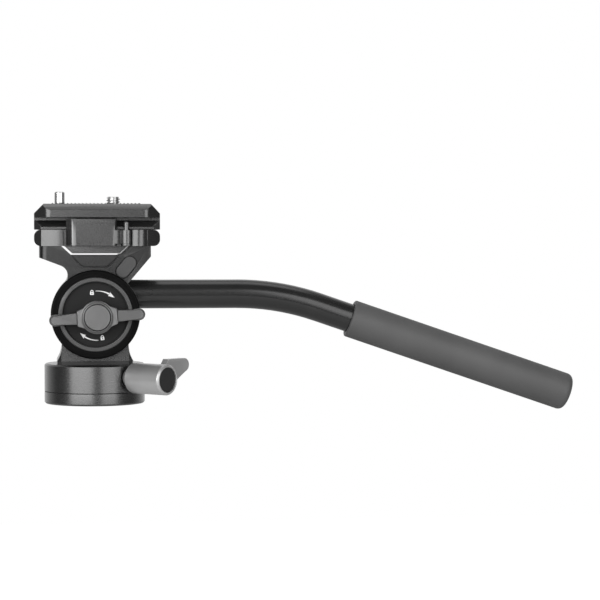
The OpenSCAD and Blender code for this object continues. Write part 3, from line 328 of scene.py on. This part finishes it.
def ring_part(centre, r0, r1, a0, a1, n):
    """Quads between two radii, from angle a0 to angle a1 in degrees."""
    out = []
    for i in range(n):
        corners = []
        for a, r in ((i, r0), (i, r1), (i + 1, r1), (i + 1, r0)):
            t = math.radians(a0 + (a1 - a0) * a / n)
            corners.append((centre[0] + r * math.cos(t), centre[1] + r * math.sin(t)))
        out.append(corners)
    return out


def box_part(x0, x1, z0, z1):
    """One upright rectangle."""
    return [(x0, z0), (x1, z0), (x1, z1), (x0, z1)]


# The padlock before it is scaled: half widths of body and keyhole, heights of the body's foot, the keyhole's
# sill and top, the body's top and the shackle's bend, and the shackle's radii
LOCK_SCALE = 0.9
LOCK_W = 0.95
KEYHOLE_W = 0.22
LOCK_FOOT, KEYHOLE_SILL, KEYHOLE_TOP, LOCK_TOP, SHACKLE_BEND = -1.2, -0.75, -0.2, 0.2, 0.5
SHACKLE_R = (0.42, 0.8)


def padlock(x, z, turn):
    """A closed padlock: a body with a keyhole, and its shackle."""
    parts = [
        box_part(-LOCK_W, LOCK_W, LOCK_FOOT, KEYHOLE_SILL),
        box_part(-LOCK_W, -KEYHOLE_W, KEYHOLE_SILL, KEYHOLE_TOP),
        box_part(KEYHOLE_W, LOCK_W, KEYHOLE_SILL, KEYHOLE_TOP),
        box_part(-LOCK_W, LOCK_W, KEYHOLE_TOP, LOCK_TOP),
        box_part(-SHACKLE_R[1], -SHACKLE_R[0], LOCK_TOP, SHACKLE_BEND),
        box_part(SHACKLE_R[0], SHACKLE_R[1], LOCK_TOP, SHACKLE_BEND)]
    parts += ring_part((0, SHACKLE_BEND), *SHACKLE_R, 0, 180, 10)
    c, s = (LOCK_SCALE * f(math.radians(turn)) for f in (math.cos, math.sin))
    return [[(x + u * c - v * s, z + u * s + v * c) for u, v in q] for q in parts]


# Half widths of the arrow's tail, of its shaft at the head and of the head, in millimetres, and how far
# behind the tip the shaft ends and the barbs lie, in degrees
TAIL_W, SHAFT_W, HEAD_W = 0.1, 0.36, 1.0
HEAD_ANGLE = 12
BARB_ANGLE = 15
SHAFT_STEPS = 14


def arrow(centre, r, a0, a1):
    """A curved arrow from angle a0 to angle a1; it thickens towards its head."""
    way = 1 if a1 > a0 else -1
    head = way * HEAD_ANGLE
    parts = []
    n = SHAFT_STEPS
    for i in range(n):
        w0, w1 = (TAIL_W + (SHAFT_W - TAIL_W) * k / n for k in (i, i + 1))
        t0, t1 = (math.radians(a0 + (a1 - head - a0) * k / n) for k in (i, i + 1))
        parts.append([
            (centre[0] + q * math.cos(t), centre[1] + q * math.sin(t))
            for t, q in ((t0, r - w0), (t0, r + w0), (t1, r + w1), (t1, r - w1))])
    base, mid, tip = (math.radians(a1 - back) for back in (way * BARB_ANGLE, head, 0))
    parts.append([
        (centre[0] + q * math.cos(t), centre[1] + q * math.sin(t))
        for t, q in ((base, r - HEAD_W), (mid, r), (base, r + HEAD_W), (tip, r))])
    return parts


PRINT_HEIGHT = 0.04


def printed(name, quads, y, body, slot, mat):
    """Flat outlines in X and Z, raised a little towards -Y."""
    verts, faces = [], []
    for q in quads:
        k = len(verts)
        n = len(q)
        verts += [Vector((u, y, TILT_Z + v)) * MM for u, v in q]
        verts += [Vector((u, y - PRINT_HEIGHT, TILT_Z + v)) * MM for u, v in q]
        faces.append(tuple(range(k + n, k + 2 * n)))
        for i in range(n):
            j = (i + 1) % n
            faces.append((k + i, k + j, k + n + j, k + n + i))
    mesh = bpy.data.meshes.new(name)
    mesh.from_pydata(verts, [], faces)
    bm = bmesh.new()
    bm.from_mesh(mesh)
    bmesh.ops.recalc_face_normals(bm, faces=bm.faces)
    bm.to_mesh(mesh)
    bm.free()
    return add(mesh, name, body, slot, mat)


# Middle of the arrows' arcs, which is the wing knob's axis, from the tilt axis in millimetres
SIGN_CENTRE = (0.71, -1.07)
printed(
    "dial_signs",
    padlock(-1.6, 10.1, 0) + padlock(3.15, -10.75, 8)
    + arrow(SIGN_CENTRE, 11.9, 93, 47.5) + arrow(SIGN_CENTRE, 10.8, -87, -136),
    DIAL_FACE_Y, "tilt_head", "dial_print", "white_print")


# Threads, in millimetres

INCH = 25.4
# Points round a thread, and the radius at which a closed end is as good as a point
ROUND = 72
POINT_R = 0.01


def thread_row(x, z, pitch, minor, major, limit):
    """One ring of a helical thread at height z; no point lies beyond the limit radius."""
    row = []
    for k in range(ROUND):
        a = 2 * math.pi * k / ROUND
        phase = (z / pitch - k / ROUND) % 1.0
        # Crest and root each take a quarter of the pitch, and each flank another quarter
        crest = max(0.0, min(1.0, 1.5 - abs(phase - 0.5) * 4.0))
        r = min(limit, minor + (major - minor) * crest)
        row.append((x + r * math.cos(a), r * math.sin(a), z))
    return row


def plain_row(x, z, r):
    """One plain ring at height z."""
    turns = [2 * math.pi * k / ROUND for k in range(ROUND)]
    return [(x + r * math.cos(a), r * math.sin(a), z) for a in turns]


def camera_thread():
    """The 1/4 inch camera screw: a flat head under the plate and 20 turns to the inch."""
    pitch, depth, tip, steps = INCH / 20, 0.55, 0.6, 96
    start = PLATE_TOP - 1.0
    end_dent, end_rim = 0.15, (1.1, 1.3, 1.4)
    rows = [plain_row(SCREW_X, SCREW_HEAD_Z, r) for r in (POINT_R, SCREW_HEAD_R)]
    rows += [plain_row(SCREW_X, SCREW_HEAD_Z + SCREW_HEAD_H, r) for r in (SCREW_HEAD_R, SCREW_R - depth)]
    for i in range(steps + 1):
        z = start + (SCREW_TOP - start) * i / steps
        limit = SCREW_R - max(0.0, z - (SCREW_TOP - tip))
        rows.append(thread_row(SCREW_X, z, pitch, SCREW_R - depth, SCREW_R, limit))
    rows += [plain_row(SCREW_X, SCREW_TOP, SCREW_R - inset) for inset in end_rim[:2]]
    rows += [plain_row(SCREW_X, SCREW_TOP - end_dent, r) for r in (SCREW_R - end_rim[2], POINT_R)]
    o = add(grid_mesh("camera_thread", rows), "camera_thread", "camera_screw", "steel")
    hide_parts("camera_screw")


def tripod_thread():
    """The steel bush in the base: 3/8 inch, 16 turns to the inch, open downwards."""
    pitch, depth, steps = INCH / 16, 0.6, 150
    mouth, flare, foot_bevel = 0.7, 0.2, 0.15
    wall = TRIPOD_R + BUSH_WALL
    ledge = BUSH_FLANGE_TOP - BUSH_FLANGE_H
    rows = [plain_row(0, TRIPOD_DEPTH, r) for r in (POINT_R, TRIPOD_R)]
    for i in range(steps + 1):
        z = TRIPOD_DEPTH * (1 - i / steps)
        row = thread_row(0, z, pitch, TRIPOD_R - depth, TRIPOD_R, TRIPOD_R)
        least = TRIPOD_R + flare - z if z < mouth else 0
        widen = [max(1.0, least / math.hypot(x, y)) for x, y, _ in row]
        rows.append([(x * w, y * w, q) for (x, y, q), w in zip(row, widen)])
    rows += [plain_row(0, z, r) for z, r in (
        (0.0, wall - foot_bevel), (foot_bevel, wall), (ledge, wall), (ledge, BUSH_FLANGE_R),
        (BUSH_FLANGE_TOP, BUSH_FLANGE_R), (BUSH_FLANGE_TOP, wall), (BUSH_H, wall), (BUSH_H, POINT_R))]
    o = add(grid_mesh("tripod_thread", rows), "tripod_thread", "mount_base", "steel")
    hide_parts("tripod_bush")


camera_thread()
tripod_thread()


# Floor, light and camera

def reckon(t, operation, a, b):
    """Two factors put together by a math operation; b may be a plain value."""
    n = t.nodes.new("ShaderNodeMath")
    n.operation = operation
    t.links.new(a, n.inputs[0])
    if isinstance(b, float):
        n.inputs[1].default_value = b
    else:
        t.links.new(b, n.inputs[1])
    return n.outputs[0]


def seen(t, mirrored):
    """1 for rays of the camera; the mirrored level for what metal and glass show of the background; else 0."""
    path = t.nodes.new("ShaderNodeLightPath")
    shown = reckon(t, "MAXIMUM", path.outputs["Is Glossy Ray"], path.outputs["Is Transmission Ray"])
    return reckon(t, "MAXIMUM", path.outputs["Is Camera Ray"], reckon(t, "MULTIPLY", shown, mirrored))


def floor():
    """A pale floor below the head, white where nothing shades it; from below it doesn't hide the head."""
    z = CAD_BOX[0][2] - FLOOR_DROP
    mesh = bpy.data.meshes.new("floor")
    r = FLOOR_HALF
    mesh.from_pydata([(-r, -r, z), (r, -r, z), (r, r, z), (-r, r, z)], [], [(0, 1, 2, 3)])
    o = bpy.data.objects.new("floor", mesh)
    bpy.context.collection.objects.link(o)
    mat = bpy.data.materials.new("floor_white")
    mat.use_nodes = True
    t = mat.node_tree
    t.nodes.remove(t.nodes["Principled BSDF"])
    diffuse = sockets(t, "ShaderNodeBsdfDiffuse", Color=(FLOOR_GREY, FLOOR_GREY, FLOOR_GREY, 1))
    glow = sockets(t, "ShaderNodeEmission", Color=(1, 1, 1, 1))
    coord = t.nodes.new("ShaderNodeTexCoord").outputs["Object"]
    far = t.nodes.new("ShaderNodeVectorMath")
    far.operation = "LENGTH"
    t.links.new(coord, far.inputs[0])
    fade = spread(t, far.outputs["Value"], *FLOOR_WHITE, *FLOOR_FADE)
    t.links.new(reckon(t, "MULTIPLY", seen(t, FLOOR_MIRRORED), fade), glow.inputs["Strength"])
    both = t.nodes.new("ShaderNodeAddShader")
    t.links.new(diffuse.outputs[0], both.inputs[0])
    t.links.new(glow.outputs[0], both.inputs[1])
    sides = t.nodes.new("ShaderNodeMixShader")
    t.links.new(t.nodes.new("ShaderNodeNewGeometry").outputs["Backfacing"], sides.inputs[0])
    t.links.new(both.outputs[0], sides.inputs[1])
    t.links.new(t.nodes.new("ShaderNodeBsdfTransparent").outputs[0], sides.inputs[2])
    t.links.new(sides.outputs[0], t.nodes["Material Output"].inputs["Surface"])
    mesh.materials.append(mat)


def backdrop():
    """White to the camera; metal and glass mirror it behind the head, and a dim room elsewhere."""
    world = bpy.data.worlds.new("room")
    bpy.context.scene.world = world
    world.use_nodes = True
    t = world.node_tree
    room = t.nodes["Background"]
    room.inputs["Color"].default_value = (ROOM_GREY, ROOM_GREY, ROOM_GREY, 1)
    white = sockets(t, "ShaderNodeBackground", Color=(1, 1, 1, 1), Strength=1.0)
    split = t.nodes.new("ShaderNodeSeparateXYZ")
    t.links.new(t.nodes.new("ShaderNodeTexCoord").outputs["Generated"], split.inputs[0])
    behind = spread(t, split.outputs["Y"], 0, 1, *BACKDROP_EDGE)
    mix = t.nodes.new("ShaderNodeMixShader")
    t.links.new(seen(t, behind), mix.inputs[0])
    t.links.new(room.outputs[0], mix.inputs[1])
    t.links.new(white.outputs[0], mix.inputs[2])
    t.links.new(mix.outputs[0], t.nodes["World Output"].inputs["Surface"])


def softbox(name, place, aim, size, power):
    """A rectangular area light turned towards a point."""
    light = bpy.data.lights.new(name, "AREA")
    light.shape = "RECTANGLE"
    light.size, light.size_y = size
    light.energy = power
    o = bpy.data.objects.new(name, light)
    bpy.context.collection.objects.link(o)
    o.location = place
    o.rotation_mode = "QUATERNION"
    o.rotation_quaternion = (Vector(aim) - Vector(place)).to_track_quat("-Z", "Y")


floor()
backdrop()
# Softboxes: place, aim and size in metres, and power in watts
HEAD = (0.0, 0.0, 0.05)
softbox("left_softbox", (-0.52, -0.85, 0.29), HEAD, (1.08, 0.80), 9.5)
softbox("right_softbox", (0.53, -0.84, 0.29), HEAD, (0.70, 0.80), 4.5)
softbox("top_softbox", (0.05, 0.12, 0.90), (0.05, 0.0, 0.05), (0.80, 0.40), 1.3)

# The photograph's camera: nearly level and a little to the left; its aim and distance in metres
AIM = Vector((0.0975, 0.0, 0.0480))
DISTANCE = 0.95
AZIMUTH = math.radians(-7.0)
ELEVATION = math.radians(1.7)
cam = bpy.data.cameras.new("camera")
cam.sensor_width = 36.0
cam.lens = 119.5
camera = bpy.data.objects.new("camera", cam)
bpy.context.collection.objects.link(camera)
back = Vector((
    math.sin(AZIMUTH) * math.cos(ELEVATION), -math.cos(AZIMUTH) * math.cos(ELEVATION), math.sin(ELEVATION)))
camera.location = AIM + back * DISTANCE
camera.rotation_mode = "QUATERNION"
camera.rotation_quaternion = (-back).to_track_quat("-Z", "Y")
bpy.context.scene.camera = camera
bpy.context.scene.view_settings.view_transform = "Standard"
